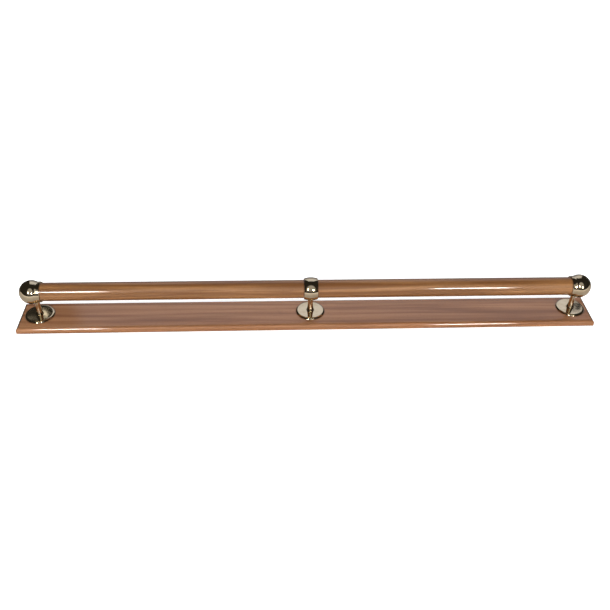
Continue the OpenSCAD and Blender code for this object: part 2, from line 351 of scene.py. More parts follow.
def end_grain_and_end_shade_group():
    """A mask that is 1 on faces that look along X, where the wood's grain is cut across and where
    the board's ends get painted shade.
    """
    tree, given, made = effect_group("End grain", (("Low", 0.02), ("High", 0.22)), ("Across",))
    facing = put(tree, "ShaderNodeNewGeometry").outputs["Normal"]
    along = put(tree, "ShaderNodeSeparateXYZ", {0: facing}).outputs[0]
    across = spread(tree, maths(tree, "ABSOLUTE", along), given["Low"], given["High"], smooth=True)
    tree.links.new(across, made["Across"])


def handling_group():
    """Smudges, fine scratches and slow unevenness of a handled, polished surface."""
    tree, given, made = effect_group(
        "Handling marks",
        (("Vector", None), ("Smudge Size", 0.02), ("Scratch Length", 0.012),
         ("Scratch Width", 0.0002), ("Wave Size", 0.03)),
        ("Smudges", "Scratches", "Waves"),
    )
    place = given["Vector"]
    scratch_place = stretched(tree, place, given["Scratch Length"], given["Scratch Width"])
    smudges = noise(tree, even(tree, place, given["Smudge Size"]), detail=4.0, rough=0.6)
    scratches = noise(tree, scratch_place, detail=1.0)
    waves = noise(tree, even(tree, place, given["Wave Size"]), detail=1.0)
    tree.links.new(spread(tree, smudges, 0.42, 0.70, smooth=True), made["Smudges"])
    tree.links.new(spread(tree, scratches, 0.62, 0.75), made["Scratches"])
    tree.links.new(waves, made["Waves"])


def place_group(tree, name, values):
    return put(tree, "ShaderNodeGroup", values, node_tree=bpy.data.node_groups[name]).outputs


def surface(name):
    """A new material with its tree, its Principled shader and its Object coordinates."""
    material = bpy.data.materials.new(name)
    material.use_nodes = True
    tree = material.node_tree
    tree.nodes.clear()
    shader = put(tree, "ShaderNodeBsdfPrincipled")
    put(tree, "ShaderNodeOutputMaterial", {"Surface": shader.outputs[0]})
    return material, tree, shader, put(tree, "ShaderNodeTexCoord").outputs["Object"]


def join(tree, socket, shader, label):
    tree.links.new(socket, shader.inputs[label])


def varnished_wood(name, wood, offset, tint, band_length, band_width):
    """Grained wood under clear varnish that is thinner on rubbed edges, darkened in its corners and
    on the board's ends partly by painted shade.
    """
    line_share, pore_share, worn_share, end_share, dirt_and_shade_share = 0.30, 0.45, 0.30, 0.95, 0.85
    material, tree, shader, place = surface(name)
    moved = put(tree, "ShaderNodeMapping", {
        "Vector": place, "Location": offset, "Rotation": (0.0, wood.grain_tilt, wood.grain_tilt),
    }).outputs[0]
    grain = place_group(tree, "Wood grain", {
        "Vector": moved, "Band Length": band_length, "Band Width": band_width,
        "Line Length": 0.16, "Line Width": 0.0022, "Pore Length": 0.008, "Pore Width": 0.0005,
    })
    worn = place_group(tree, "Edge wear", {
        "Vector": place, "Width": 0.0012, "Patch Size": 0.03, "Spread": 0.45,
    })["Worn"]
    smudges = place_group(tree, "Handling marks", {
        "Vector": place, "Smudge Size": 0.05, "Wave Size": 0.06,
    })["Smudges"]
    end_grain_and_shade_mask = place_group(tree, "End grain", {})["Across"]
    dirt_and_shade = place_group(tree, "Settled grime", {"Vector": place})["Grime"]
    paint = blend_colours(tree, grain["Bands"], wood.deep, wood.pale)
    paint = blend_colours(tree, times(tree, grain["Lines"], line_share), paint, wood.line)
    paint = blend_colours(tree, times(tree, grain["Pores"], pore_share), paint, wood.line)
    paint = blend_colours(tree, 1.0, paint, tint, blend="MULTIPLY")
    paint = blend_colours(tree, times(tree, worn, worn_share), paint, wood.worn)
    # The board's ends: darker end grain, with painted shade laid on them too
    paint = blend_colours(tree, times(tree, end_grain_and_shade_mask, end_share), paint, wood.end_grain_and_shade)
    # Painted shade: corners and creases darkened by ambient occlusion, standing also for settled
    # dirt
    paint = blend_colours(tree, times(tree, dirt_and_shade, dirt_and_shade_share), paint, wood.dirt_and_shade)
    join(tree, paint, shader, "Base Color")
    rough = maths(tree, "MULTIPLY_ADD", grain["Lines"], 0.14, 0.36)
    join(tree, maths(tree, "MULTIPLY_ADD", worn, 0.15, rough, clamp=True), shader, "Roughness")
    thin = maths(tree, "MULTIPLY_ADD", smudges, -0.10, 1.0)
    coat = maths(tree, "MULTIPLY_ADD", worn, -0.45, thin, clamp=True)
    join(tree, coat, shader, "Coat Weight")
    shader.inputs["Coat Roughness"].default_value = wood.varnish_roughness
    shader.inputs["Coat IOR"].default_value = 1.52
    shader.inputs["Specular IOR Level"].default_value = 0.35
    relief = maths(tree, "MULTIPLY_ADD", grain["Lines"], -0.3, times(tree, grain["Pores"], -0.7))
    bump = put(tree, "ShaderNodeBump", {"Height": relief, "Strength": 0.35, "Distance": 0.00012})
    join(tree, bump.outputs[0], shader, "Normal")
    return material


def finished_metal(name, bright, dull, rough, marks, smudge_size=0.018, edge=0.0006,
                   brushed=0.00018):
    """Polished metal with smudges, fine scratches, dirt and painted shade in its corners, and
    rubbed edges.
    """
    stain_share, dirt_and_shade_share, score_share, worn_share = 0.30, 0.65, 0.15, 0.5
    dirt_and_shade_tone, lift, wave_height = 0.25, 1.12, 0.00002
    material, tree, shader, place = surface(name)
    handled = place_group(tree, "Handling marks", {
        "Vector": place, "Smudge Size": smudge_size, "Scratch Length": 0.01,
        "Scratch Width": brushed, "Wave Size": 0.022,
    })
    worn = place_group(tree, "Edge wear", {
        "Vector": place, "Width": edge, "Patch Size": 0.01, "Spread": 0.6,
    })["Worn"]
    dirt_and_shade = place_group(tree, "Settled grime", {
        "Vector": place, "Reach": 0.002, "Patch Size": 0.005,
    })["Grime"]
    dirt_and_shade_colour = tuple(c * dirt_and_shade_tone for c in dull)
    lifted = tuple(min(1.0, c * lift) for c in bright)
    paint = blend_colours(tree, times(tree, handled["Smudges"], stain_share), bright, dull)
    # Painted shade: corners darkened by ambient occlusion, standing also for settled dirt
    paint = blend_colours(tree, times(tree, dirt_and_shade, dirt_and_shade_share), paint, dirt_and_shade_colour)
    paint = blend_colours(tree, times(tree, handled["Scratches"], score_share), paint, dull)
    paint = blend_colours(tree, times(tree, worn, worn_share), paint, lifted)
    join(tree, paint, shader, "Base Color")
    shader.inputs["Metallic"].default_value = 1.0
    blurred = maths(tree, "MULTIPLY_ADD", handled["Smudges"], marks, rough)
    scored = maths(tree, "MULTIPLY_ADD", handled["Scratches"], marks * 0.6, blurred, clamp=True)
    join(tree, scored, shader, "Roughness")
    relief = maths(tree, "MULTIPLY_ADD", handled["Scratches"], -0.05, handled["Waves"])
    bump = put(tree, "ShaderNodeBump", {"Height": relief, "Strength": 1.0, "Distance": wave_height})
    join(tree, bump.outputs[0], shader, "Normal")
    return material


# Mesh building


def turn_profile(bm, start, cuts, steps=ROUND_STEPS):
    """Turns a profile about the Z axis.

    A cut is a point (across, along) to go straight to, or (across, along, degrees, parts) to go
    round that point by so many degrees in so many parts.
    """
    tip = bm.verts.new((start[0], 0.0, start[1]))
    for cut in cuts:
        if len(cut) == 2:
            tip = bmesh.ops.extrude_vert_indiv(bm, verts=[tip])["verts"][0]
            tip.co = (cut[0], 0.0, cut[1])
        else:
            across, along, degrees, parts = cut
            tip = bmesh.ops.spin(
                bm, geom=[tip], cent=(across, 0.0, along), axis=(0.0, 1.0, 0.0),
                dvec=(0.0, 0.0, 0.0), angle=-math.radians(degrees), steps=parts,
            )["geom_last"][0]
    bmesh.ops.remove_doubles(bm, verts=bm.verts[:], dist=WELD)
    bmesh.ops.spin(
        bm, geom=bm.verts[:] + bm.edges[:], cent=(0.0, 0.0, 0.0), axis=(0.0, 0.0, 1.0),
        dvec=(0.0, 0.0, 0.0), angle=math.tau, steps=steps, use_merge=True,
    )
    bmesh.ops.remove_doubles(bm, verts=bm.verts[:], dist=WELD)
    bmesh.ops.recalc_face_normals(bm, faces=bm.faces[:])
    return bm


def place_mesh(bm, place, axis="Z"):
    """Puts a turned shape at a place, with its own Z along the axis given."""
    quarter = math.pi / 2
    turns = {
        "Z": Matrix.Identity(4),
        "X": Matrix.Rotation(quarter, 4, "Y"),
        "-X": Matrix.Rotation(-quarter, 4, "Y"),
        "-Y": Matrix.Rotation(quarter, 4, "X"),
    }
    bmesh.ops.transform(bm, matrix=Matrix.Translation(place) @ turns[axis], verts=bm.verts[:])
    return bm


def put_in_order(bm):
    """Numbers a mesh's parts by their place, so that every run gives the same mesh."""
    for parts, key in (
        (bm.verts, lambda vert: tuple(round(c, 7) for c in vert.co)),
        (bm.edges, lambda edge: sorted(v.index for v in edge.verts)),
        (bm.faces, lambda face: sorted(v.index for v in face.verts)),
    ):
        for number, part in enumerate(sorted(parts, key=key)):
            part.index = number
        parts.sort()


def mesh_object(bm, name):
    put_in_order(bm)
    mesh = bpy.data.meshes.new(name)
    bm.to_mesh(mesh)
    bm.free()
    piece = bpy.data.objects.new(name, mesh)
    bpy.context.scene.collection.objects.link(piece)
    return piece


def apply_modifiers(piece):
    """Swaps a piece's mesh for what its modifiers make of it."""
    evaluated = piece.evaluated_get(bpy.context.evaluated_depsgraph_get())
    shaped = bpy.data.meshes.new_from_object(evaluated)
    piece.modifiers.clear()
    plain, piece.data = piece.data, shaped
    bpy.data.meshes.remove(plain)
    shaped.name = piece.name


def shape_solid(piece, tools):
    """Joins or cuts whole solids. tools are (bmesh, operation)."""
    helpers = []
    for number, (bm, operation) in enumerate(tools):
        helper = mesh_object(bm, f"tool_{number}")
        step = piece.modifiers.new(helper.name, "BOOLEAN")
        step.object, step.operation, step.solver = helper, operation, "EXACT"
        helpers.append(helper)
    apply_modifiers(piece)
    for helper in helpers:
        bpy.data.meshes.remove(helper.data)


def finish_mesh(piece):
    """Shades a piece smooth, with its crisp edges kept crisp and its flat faces kept flat."""
    bm = bmesh.new()
    bm.from_mesh(piece.data)
    bmesh.ops.remove_doubles(bm, verts=bm.verts[:], dist=WELD)
    for face in bm.faces:
        face.smooth = True
    for edge in bm.edges:
        edge.smooth = edge.is_manifold and edge.calc_face_angle(math.pi) < SHARP_ANGLE
    put_in_order(bm)
    bm.to_mesh(piece.data)
    bm.free()
    weighted = piece.modifiers.new("Flat faces", "WEIGHTED_NORMAL")
    weighted.keep_sharp = True
    apply_modifiers(piece)


def settle(piece, node, material):
    """Gives a piece its finish and ties it to the frame in place of its node."""
    finish_mesh(piece)
    piece.data.materials.clear()
    piece.data.materials.append(material)
    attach(piece, BODY)
    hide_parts(node)


def middle(low, high):
    return (low + high) / 2


# Board


def lift_outline(bm, edges, inward, up):
    """Draws the board's outline on: in from where it is by inward, and up by up."""
    made = bmesh.ops.extrude_edge_only(bm, edges=edges)["geom"]
    for vert in (v for v in made if isinstance(v, bmesh.types.BMVert)):
        vert.co.x -= inward * math.copysign(1.0, vert.co.x)
        vert.co.y -= inward * math.copysign(1.0, vert.co.y)
        vert.co.z += up
    return [e for e in made if isinstance(e, bmesh.types.BMEdge)]


def on_circle(r, angle):
    return r * math.cos(angle), r * math.sin(angle)


def rounded_flat(r, flat_low, flat_high):
    """Points round a quarter circle from its side to its top.

    Between the two slopes given runs a nearly flat band, which bulges by a share of its width.
    """
    parts, bulge, margin = 6, 0.025, 0.06
    points = [on_circle(r, flat_low * k / parts) for k in range(1, parts + 1)]
    start, end = Vector(on_circle(r, flat_low)), Vector(on_circle(r, flat_high))
    chord = end - start
    out = Vector((chord.y, -chord.x))
    for share in (margin, 0.3, 0.5, 0.7, 1.0 - margin):
        point = start + chord * share + out * bulge * 4 * share * (1.0 - share)
        points.append((point.x, point.y))
    rest = math.pi / 2 - flat_high
    return points + [on_circle(r, flat_high + rest * k / parts) for k in range(parts + 1)]


def board_moulding(settings, height):
    """(inward, up) moves from the back of the board to its face."""
    r, step, ease = settings.edge_round, settings.edge_step, settings.edge_ease
    eased = 3
    moves = [(-ease, ease), (0.0, height - step - r - ease)]
    tip = (r, 0.0)
    for point in rounded_flat(r, settings.flat_low, settings.flat_high):
        moves.append((tip[0] - point[0], point[1] - tip[1]))
        tip = point
    moves += [(step, 0.0), (0.0, step - ease)]
    for i in range(eased):
        a, b = (math.radians(90 * k / eased) for k in (i, i + 1))
        moves.append((ease * (math.cos(a) - math.cos(b)), ease * (math.sin(b) - math.sin(a))))
    return moves


def hole_edges(bm, x, y, z, radius, segments=48):
    place = Matrix.Translation((x, y, z))
    made = bmesh.ops.create_circle(
        bm, cap_ends=False, radius=radius, segments=segments, matrix=place
    )
    return list({e for v in made["verts"] for e in v.link_edges})


def sink(bm, edges, depth, place=None, ratio=1.0):
    """Draws a hole's rim on by depth, or in about its middle by ratio."""
    made = bmesh.ops.extrude_edge_only(bm, edges=edges)["geom"]
    verts = [v for v in made if isinstance(v, bmesh.types.BMVert)]
    bmesh.ops.translate(bm, verts=verts, vec=(0.0, 0.0, depth))
    if place is not None:
        bmesh.ops.scale(bm, verts=verts, vec=(ratio, ratio, 1.0), space=Matrix.Translation(-place))
    return [e for e in made if isinstance(e, bmesh.types.BMEdge)]


def moulded_board(settings):
    """The board's mesh, drawn up from its back, with the pockets and holes sunk into the back."""
    size = BOARD_HIGH - BOARD_LOW
    bm = bmesh.new()
    bmesh.ops.create_grid(bm, x_segments=1, y_segments=1, size=0.5)
    ease = settings.edge_ease
    bmesh.ops.scale(bm, verts=bm.verts[:], vec=(size.x - 2 * ease, size.y - 2 * ease, 1.0))
    bmesh.ops.bevel(
        bm, geom=bm.verts[:], offset=settings.corner_ease, affect="VERTICES", segments=4,
        profile=0.5, material=-1,
    )
    bmesh.ops.delete(bm, geom=bm.faces[:], context="FACES_ONLY")
    back = bm.edges[:]
    top = back
    for inward, up in board_moulding(settings, size.z):
        top = lift_outline(bm, top, inward, up)
    back_rims, top_rims = [], []
    for side in SIDES:
        spot = middle(*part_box(f"{side}_rose"))
        rim = hole_edges(bm, spot.x, spot.y, 0.0, settings.pocket_d / 2)
        back_rims += rim
        floor = sink(bm, rim, settings.pocket_depth)
        inward = settings.stud_hole_d / settings.pocket_d
        hole = sink(bm, floor, 0.0, Vector((spot.x, spot.y, 0.0)), inward)
        top_rims += sink(bm, hole, size.z - settings.pocket_depth)
    half = (INSERTS_HIGH.y - INSERTS_LOW.y) / 2
    r = settings.insert_hole_d / 2
    inner_r = insert_radius()
    for x in (INSERTS_LOW.x + inner_r, 0.0, INSERTS_HIGH.x - inner_r):
        for y in (inner_r - half, half - inner_r):
            rim = hole_edges(bm, x, y, 0.0, r)
            back_rims += rim
            bmesh.ops.edgeloop_fill(bm, edges=sink(bm, rim, settings.insert_hole_depth))
    bmesh.ops.triangle_fill(bm, use_beauty=True, edges=back + back_rims, normal=(0.0, 0.0, -1.0))
    bmesh.ops.triangle_fill(bm, use_beauty=True, edges=top + top_rims, normal=(0.0, 0.0, 1.0))
    bmesh.ops.recalc_face_normals(bm, faces=bm.faces[:])
    return bm


def insert_radius():
    """Half the size of one insert, from the verts nearest the left end of the board."""
    verts = [v.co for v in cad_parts["wall_inserts"].data.vertices]
    low_x = min(v.x for v in verts)
    near = [v for v in verts if v.x < low_x + INSERT_REACH]
    return (max(v.x for v in near) - low_x) / 2


class GRABRAIL_OT_board(bpy.types.Operator):
    """Make the moulded backing board, with the pockets and holes in its back"""

    bl_idname = "grabrail.board"
    bl_label = "Backing Board"

    def execute(self, context):
        scene = context.scene
        wood = scene.grab_rail_wood
        piece = mesh_object(moulded_board(scene.grab_rail_board), "moulded_board")
        material = varnished_wood(
            "Varnished board", wood, offset=(0.31, 0.04, 0.02), tint=(1.0, 1.0, 1.0),
            band_length=0.55, band_width=0.020,
        )
        settle(piece, "backboard", material)
        return {"FINISHED"}


# Rail


class GRABRAIL_OT_rail(bpy.types.Operator):
    """Make the round rail"""

    bl_idname = "grabrail.rail"
    bl_label = "Rail"

    def execute(self, context):
        scene = context.scene
        r, half, ease = rail_radius(), (RAIL_HIGH.x - RAIL_LOW.x) / 2, scene.grab_rail_bar.end_ease
        bm = turn_profile(bmesh.new(), (0.0, -half), (
            (r - ease, -half), (r, ease - half), (r, half - ease), (r - ease, half), (0.0, half),
        ))
        piece = mesh_object(place_mesh(bm, rail_middle(), "X"), "turned_rail")
        wood = scene.grab_rail_wood
        material = varnished_wood(
            "Varnished rail", wood, offset=(-0.12, 0.33, 0.11), tint=wood.rail_tint,
            band_length=0.42, band_width=0.011,
        )
        settle(piece, "hand_rail", material)
        return {"FINISHED"}


def rail_middle():
    return middle(RAIL_LOW, RAIL_HIGH)


def rail_radius():
    return (RAIL_HIGH.z - RAIL_LOW.z) / 2


# Sockets


def neck(settings, stem_d, spot, seat_z, bore_r):
    """The stub under a socket that the stem comes up to, and its blind tapped hole."""
    top = rail_middle().z - bore_r - settings.neck_overlap
    r = stem_d / 2
    stub = turn_profile(
        bmesh.new(), (0.0, seat_z), ((r, seat_z), (r, top), (0.0, top)), STEM_STEPS
    )
    r = settings.tapped_d / 2
    low, high = seat_z - RUN_OUT, seat_z + settings.tapped_depth
    hole = turn_profile(bmesh.new(), (0.0, low), ((r, low), (r, high), (0.0, high)), 64)
    place = (spot.x, spot.y, 0.0)
    return [(place_mesh(stub, place), "UNION"), (place_mesh(hole, place), "DIFFERENCE")]


def screw_seat(settings, x, metal_r, through):
    """The countersunk hole for a rail screw, in from the +Y side."""
    head, shank = settings.screw_head_d / 2, settings.screw_shank_d / 2
    clear = 0.05 * MM
    bm = turn_profile(bmesh.new(), (0.0, -RUN_OUT), (
        (head, -RUN_OUT), (head, clear), (shank, head - shank + clear), (shank, through),
        (0.0, through),
    ), 48)
    y = rail_middle().y + metal_r - settings.screw_set_in
    return [(place_mesh(bm, (x, y, rail_middle().z), "-Y"), "DIFFERENCE")]


def end_socket(side, bar, settings, stem):
    """A hollow ball that closes one end of the rail, with a collar at its mouth."""
    node = f"{side}_end_socket"
    low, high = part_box(node)
    sign = -1 if side == "left" else 1
    ball_r = (high.y - low.y) / 2
    ball_x = low.x + ball_r if sign < 0 else high.x - ball_r
    reach = high.x - ball_x if sign < 0 else ball_x - low.x
    bore_r = rail_radius() + bar.bore_gap
    collar_r = bore_r + settings.collar_wall
    inner_r = bore_r - settings.shoulder
    join_at = math.sqrt(ball_r**2 - collar_r**2)
    bevel = settings.mouth_bevel
    bm = turn_profile(bmesh.new(), (0.0, -ball_r), (
        (0.0, 0.0, 90 + math.degrees(math.asin(join_at / ball_r)), 44),
        (collar_r, (join_at + reach) / 2),
        (collar_r, reach - bevel),
        (collar_r - bevel, reach),
        (bore_r, reach),
        (bore_r, 0.0),
        (inner_r, 0.0),
        (0.0, 0.0, -90, 24),
    ))
    # Cut round X = 0, where places are held most finely, and then moved out along the rail
    aside = Vector((ball_x, 0.0, 0.0))
    centre = Vector((0.0, rail_middle().y, rail_middle().z))
    piece = mesh_object(place_mesh(bm, centre, "X" if sign < 0 else "-X"), f"{side}_ball_socket")
    spot = middle(*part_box(f"{side}_stem")) - aside
    screw_x = middle(*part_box(f"{side}_rail_screw")).x - ball_x
    shape_solid(piece, neck(settings, stem.top_d, spot, low.z, bore_r)
                + screw_seat(settings, screw_x, collar_r, 4 * MM))
    piece.data.transform(Matrix.Translation(aside))
    return piece, node


def ring_socket(bar, settings, stem):
    """The barrel-shaped ring round the middle of the rail."""
    node = "centre_ring"
    low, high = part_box(node)
    half, middle_r = (high.x - low.x) / 2, (high.y - low.y) / 2
    bore_r = rail_radius() + bar.bore_gap
    end_r = bore_r + settings.ring_end_wall
    belly = middle_r - end_r
    arc_r = (half**2 + belly**2) / (2 * belly)
    ease = settings.ring_ease
    tilt = math.degrees(math.asin((half - ease) / arc_r))
    shoulder_r = middle_r - arc_r + arc_r * math.cos(math.radians(tilt))
    bm = turn_profile(bmesh.new(), (bore_r, -half), (
        (end_r - ease, -half),
        (shoulder_r, ease - half),
        (middle_r - arc_r, 0.0, 2 * tilt, 24),
        (end_r - ease, half),
        (bore_r, half),
        (bore_r, -half),
    ))
    centre = Vector((0.0, rail_middle().y, rail_middle().z))
    piece = mesh_object(place_mesh(bm, centre, "X"), "centre_barrel_ring")
    spot = middle(*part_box("centre_stem"))
    shape_solid(piece, neck(settings, stem.top_d, spot, low.z, bore_r)
                + screw_seat(settings, 0.0, middle_r, 7.5 * MM))
    return piece, node


def polished_brass():
    return bpy.data.materials["Polished brass"]


class GRABRAIL_OT_sockets(bpy.types.Operator):
    """Make the two ball sockets that close the rail's ends, and the ring round its middle"""

    bl_idname = "grabrail.sockets"
    bl_label = "Sockets and Ring"

    def execute(self, context):
        scene = context.scene
        given = scene.grab_rail_bar, scene.grab_rail_socket, scene.grab_rail_stem
        made = end_socket("left", *given), ring_socket(*given), end_socket("right", *given)
        for piece, node in made:
            settle(piece, node, polished_brass())
        return {"FINISHED"}


# Stems and roses


def stem_mesh(settings, low, high):
    foot_z = low.z + settings.spigot_l
    top_r, foot_r = settings.top_d / 2, (high.x - low.x) / 2
    bore_r, spigot_r, ease = settings.bore_d / 2, settings.spigot_d / 2, settings.foot_ease
    flare = foot_r - top_r
    arc_r = (flare**2 + settings.flare_h**2) / (2 * flare)
    sweep = math.degrees(math.asin(settings.flare_h / arc_r))
    band_z = foot_z + settings.band_h
    return turn_profile(bmesh.new(), (bore_r, low.z), (
        (spigot_r, low.z),
        (spigot_r, foot_z),
        (foot_r - ease, foot_z),
        (foot_r, foot_z + ease),
        (foot_r, band_z),
        (top_r + arc_r, band_z + settings.flare_h, -sweep, 24),
        (top_r, high.z),
        (bore_r, high.z),
        (bore_r, low.z),
    ), STEM_STEPS)


def rose_mesh(settings, stem, low, high):
    r, thick = (high.x - low.x) / 2, high.z - low.z
    flat_r, drop = r - settings.rim_w, thick - settings.rim_edge
    arc_r = (settings.rim_w**2 + drop**2) / (2 * drop)
    sweep = math.degrees(math.asin(settings.rim_w / arc_r))
    bore_r, recess_r = stem.bore_d / 2, stem.spigot_d / 2 + settings.recess_gap
    recess_z = high.z - stem.spigot_l - settings.recess_floor
    return turn_profile(bmesh.new(), (bore_r, low.z), (
        (r, low.z),
        (r, low.z + settings.rim_edge),
        (flat_r, high.z - arc_r, sweep, 14),
        (recess_r, high.z),
        (recess_r, recess_z),
        (bore_r, recess_z),
        (bore_r, low.z),
    ))


class GRABRAIL_OT_stems(bpy.types.Operator):
    """Make the three flared stems"""

    bl_idname = "grabrail.stems"
    bl_label = "Stems"

    def execute(self, context):
        for side in SIDES:
            low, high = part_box(f"{side}_stem")
            spot = middle(low, high)
            bm = stem_mesh(context.scene.grab_rail_stem, low, high)
            piece = mesh_object(place_mesh(bm, (spot.x, spot.y, 0.0)), f"{side}_flared_stem")
            settle(piece, f"{side}_stem", polished_brass())
        return {"FINISHED"}


class GRABRAIL_OT_roses(bpy.types.Operator):
    """Make the three roses on the board"""

    bl_idname = "grabrail.roses"
    bl_label = "Roses"

    def execute(self, context):
        scene = context.scene
        for side in SIDES:
            low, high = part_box(f"{side}_rose")
            spot = middle(low, high)
            bm = rose_mesh(scene.grab_rail_rose, scene.grab_rail_stem, low, high)
            piece = mesh_object(place_mesh(bm, (spot.x, spot.y, 0.0)), f"{side}_round_rose")
            settle(piece, f"{side}_rose", polished_brass())
        return {"FINISHED"}


# Finishes shared by many pieces, and the fixings' own


class GRABRAIL_OT_finishes(bpy.types.Operator):
    """Make the shared effects and the metals"""

    bl_idname = "grabrail.finishes"
    bl_label = "Metals and Effects"

    def execute(self, context):
        metal = context.scene.grab_rail_metal
        wood_grain_group()
        edge_wear_group()
        end_grain_and_end_shade_group()
        dirt_and_corner_shade_group()
        handling_group()
        finished_metal("Polished brass", metal.brass, metal.brass_dull, rough=0.032, marks=0.05)
        finished_metal("Screw brass", metal.brass, metal.brass_dull, rough=0.16, marks=0.12,
                       smudge_size=0.004, edge=0.0002)
        finished_metal("Insert brass", metal.insert, metal.brass_dull, rough=0.30, marks=0.15,
                       smudge_size=0.006, edge=0.0004)
        finished_metal("Stainless steel", metal.steel, metal.steel_dull, rough=0.24, marks=0.16,
                       smudge_size=0.006, edge=0.0004, brushed=0.0001)
        return {"FINISHED"}


class GRABRAIL_OT_fixings(bpy.types.Operator):
    """Finish the studs, washers, nuts, screws and inserts"""

    bl_idname = "grabrail.fixings"
    bl_label = "Fixings"

    def execute(self, context):
        wanted = {"wall_inserts": "Insert brass"}
        for side in SIDES:
            wanted[f"{side}_rail_screw"] = "Screw brass"
            for part in ("stud", "washer", "spring_washer", "nut"):
                wanted[f"{side}_{part}"] = "Stainless steel"
        for name, material in wanted.items():
            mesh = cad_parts[name].data
            mesh.materials.clear()
            mesh.materials.append(bpy.data.materials[material])
        return {"FINISHED"}


# Studio


def soft_sun(name, strength, spread_degrees, down, turn):
    """A broad soft light that nothing mirrors.

    It shines down from so many degrees above the horizon, turned so many degrees from the front.
    """
    light = bpy.data.lights.new(name, "SUN")
    light.energy, light.angle = strength, math.radians(spread_degrees)
    lamp = bpy.data.objects.new(name, light)
    bpy.context.scene.collection.objects.link(lamp)
    lamp.rotation_euler = (math.radians(90 - down), 0.0, math.radians(turn))
    lamp.visible_glossy = False
    return lamp


def ramp(tree, factor, stops, tint=(1.0, 0.97, 0.93)):
    """A colour ramp from (place, grey) stops."""
    node = put(tree, "ShaderNodeValToRGB", {0: factor})
    elements = node.color_ramp.elements
    while len(elements) < len(stops):
        elements.new(1.0)
    for element, (place, grey) in zip(elements, stops):
        element.position, element.color = place, (*(grey * c for c in tint), 1.0)
    return node.outputs[0]


def between(tree, value, low, high, soft):
    """1 from low to high, falling to 0 over soft on either side."""
    up = spread(tree, value, low - soft, low + soft, smooth=True)
    down = spread(tree, value, high - soft, high + soft, 1.0, 0.0, smooth=True)
    return maths(tree, "MULTIPLY", up, down)


# A direction is told by its tilt about the X axis, from 0 at the front by 0.5 overhead to 1 at the
# back, and by how far it leans along X or, behind the rail, by its bearing from straight back.

# (tilt, grey) of the room, of the pale screen behind the rail, and their tints
ROOM_GREYS = (
    (0.00, 0.05), (0.04, 0.08), (0.08, 0.25), (0.20, 0.35), (0.36, 0.36), (0.43, 0.13),
    (0.48, 0.035), (1.0, 0.03),
)
ROOM_TINT = (1.0, 0.98, 0.98)
SCREEN_GREYS = ((0.0, 0.0), (0.64, 0.50), (0.78, 0.72), (0.86, 0.44), (1.0, 0.25))
SCREEN_TINT = (0.95, 0.96, 1.07)

# The screen's left and right bearings, its sides' softness, and the tilts over which it starts
SCREEN_SIDES = tuple(math.radians(v) for v in (-18.0, 29.4, 0.9))
SCREEN_START = (0.63, 0.67)

# The lit part of the room is an oval: (middle, half size) across in lean and up in tilt
LIT_ACROSS, LIT_UP = (0.02, 0.46), (0.12, 0.29)
LIT_FADE = (0.84, 1.10)
DARK_ROOM = (0.022, 0.020, 0.017)
BELOW = (0.62, 0.60, 0.58)

# Cards at the back: bearings from left to right, tilts from low to high and softness in degrees,
# and grey
CARDS = (
    (-20.95, -20.55, 140.95, 141.55, 0.08, 1.1),
    (-22.50, -21.60, 140.50, 141.00, 0.15, 0.16),
    (27.72, 28.55, 140.90, 141.90, 0.10, 0.02),
)
CARD_TINT = (1.0, 0.95, 0.88)

# Window panes: lean from left to right, and tilts from low to high in degrees
PANES = (
    (-0.290, -0.215, 27, 35),
    (0.215, 0.308, 18, 26),
)
PANE_SOFT, PANE_TILT_SOFT = 0.012, 0.007
PANE_TINT = (1.0, 1.0, 0.98)


def away_from(tree, value, centre, half):
    """How far a value is from a centre, in half sizes."""
    return maths(tree, "DIVIDE", maths(tree, "SUBTRACT", value, centre), half)


def room_light(tree, lean, tilt):
    """The room in front, which is dark outside an oval."""
    room = ramp(tree, tilt, ROOM_GREYS, ROOM_TINT)
    across, up = away_from(tree, lean, *LIT_ACROSS), away_from(tree, tilt, *LIT_UP)
    squares = maths(tree, "MULTIPLY_ADD", across, across, times(tree, up, up))
    outside = spread(tree, maths(tree, "SQRT", squares), *LIT_FADE, smooth=True)
    return blend_colours(tree, outside, room, DARK_ROOM)


def studio_world(scene, window):
    """A dim room, a pale screen behind the rail and windows in front. Seen straight, it's white."""
    world = bpy.data.worlds.new("Studio")
    scene.world = world
    world.use_nodes = True
    tree = world.node_tree
    tree.nodes.clear()
    generated = put(tree, "ShaderNodeTexCoord").outputs["Generated"]
    way = put(tree, "ShaderNodeSeparateXYZ", {0: generated}).outputs
    turned = maths(tree, "ARCTAN2", way[2], times(tree, way[1], -1.0))
    tilt = maths(tree, "DIVIDE", turned, math.pi)
    lean, bearing = way[0], maths(tree, "ARCTAN2", way[0], way[1])
    room = room_light(tree, lean, tilt)
    screen = ramp(tree, tilt, SCREEN_GREYS, SCREEN_TINT)
    beside = between(tree, bearing, *SCREEN_SIDES)
    seen = blend_colours(
        tree, times(tree, beside, spread(tree, tilt, *SCREEN_START, smooth=True)), room, screen
    )
    for left, right, low, high, soft, grey in CARDS:
        wide = between(tree, bearing, *(math.radians(v) for v in (left, right, soft)))
        card = times(tree, wide, between(tree, tilt, low / 180, high / 180, soft / 180))
        seen = blend_colours(tree, card, seen, tuple(grey * c for c in CARD_TINT))
    for left, right, low, high in PANES:
        tall = between(tree, tilt, low / 180, high / 180, PANE_TILT_SOFT)
        pane = times(tree, between(tree, lean, left, right, PANE_SOFT), tall)
        seen = blend_colours(tree, pane, seen, tuple(window * c for c in PANE_TINT))
    seen = blend_colours(tree, spread(tree, way[2], -0.04, -0.02), BELOW, seen)
    straight = put(tree, "ShaderNodeLightPath").outputs["Is Camera Ray"]
    shown = blend_colours(tree, straight, seen, (1.0, 1.0, 1.0))
    back = put(tree, "ShaderNodeBackground", {"Color": shown, "Strength": 1.0})
    put(tree, "ShaderNodeOutputWorld", {"Surface": back.outputs[0]})


